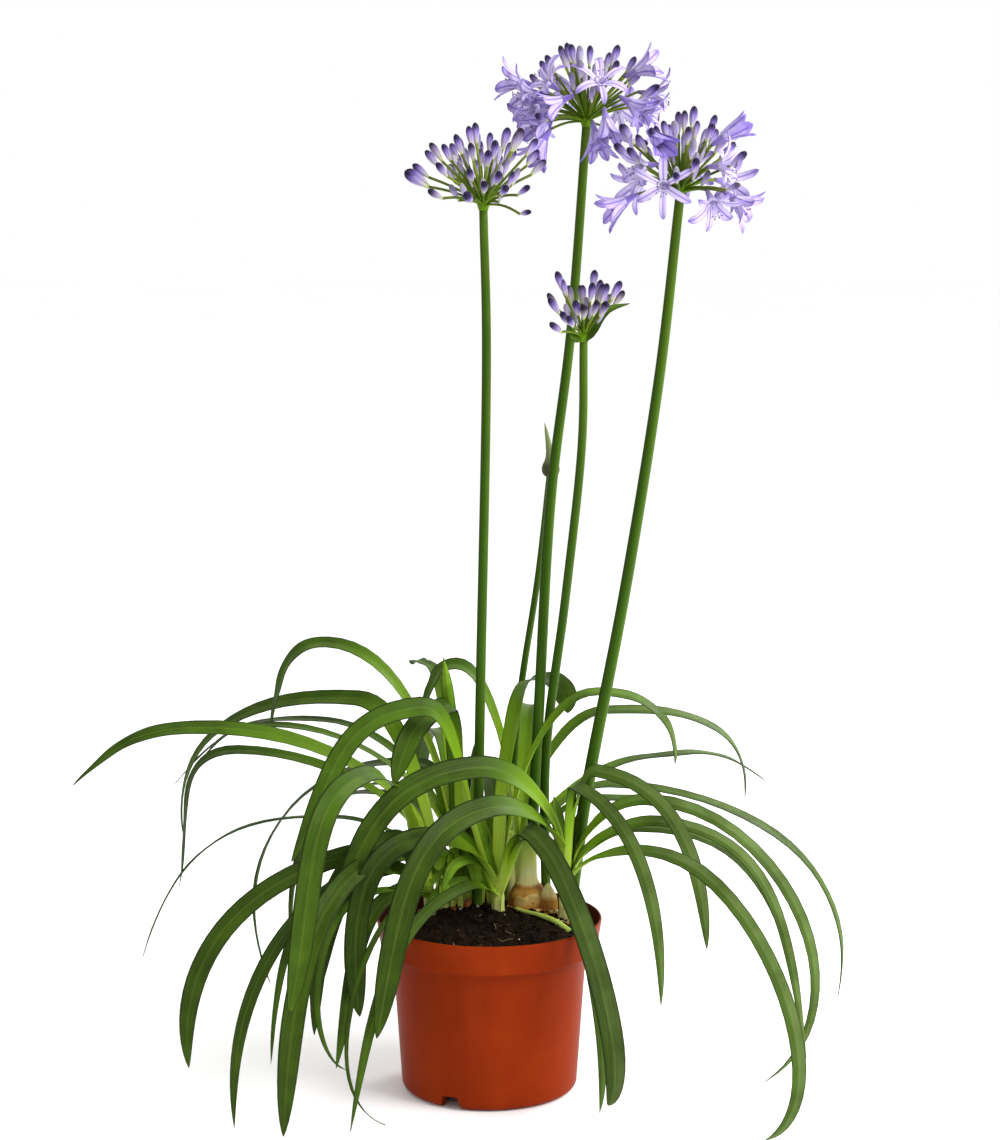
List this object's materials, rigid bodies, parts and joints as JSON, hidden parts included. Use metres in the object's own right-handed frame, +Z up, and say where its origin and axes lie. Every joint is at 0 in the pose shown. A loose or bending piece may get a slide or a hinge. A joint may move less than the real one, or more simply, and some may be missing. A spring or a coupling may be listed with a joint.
{
  "type": "potted agapanthus plant",
  "caption": "Flowering agapanthus in a round plastic growers' pot: arching strap leaves, tall bare stalks and loose pale violet flower heads. Stands on its pot as living greenery.",
  "frame": {"origin": "centre of the pot's underside, at the level that the pot stands on", "axes": "+Z up; -Y towards the viewer of the side that is taken as the front; +X to that viewer's right"},
  "size_m": [0.579, 0.4032, 0.7913],
  "materials": {
    "pot_plastic": "satin terracotta-coloured moulded plastic",
    "potting_soil": "damp near-black potting soil with bark chips and a little perlite",
    "bulb_skin": "dry papery brown skins over a pale green-white neck",
    "leaf": "smooth, slightly waxy strap leaf, yellow-green at the root and dark green at the tip",
    "stalk": "smooth satin green stem",
    "flower": "soft pale violet petals with a darker midrib, greenish pedicels"
  },
  "bodies": {
    "root": {"pot": "pot_plastic", "soil": "potting_soil", "papery_bulb": "bulb_skin", "shoot_front": "leaf", "shoot_right": "leaf", "shoot_left": "leaf", "shoot_front_left": "leaf", "shoot_back_left": "leaf", "shoot_back_right": "leaf", "stalk_left": "stalk", "stalk_top": "stalk", "stalk_small": "stalk", "stalk_right": "stalk", "stalk_bud": "stalk", "closed_bud": "stalk", "umbel_left": "flower", "umbel_top": "flower", "umbel_right": "flower", "umbel_small": "flower"}
  },
  "joints": []
}
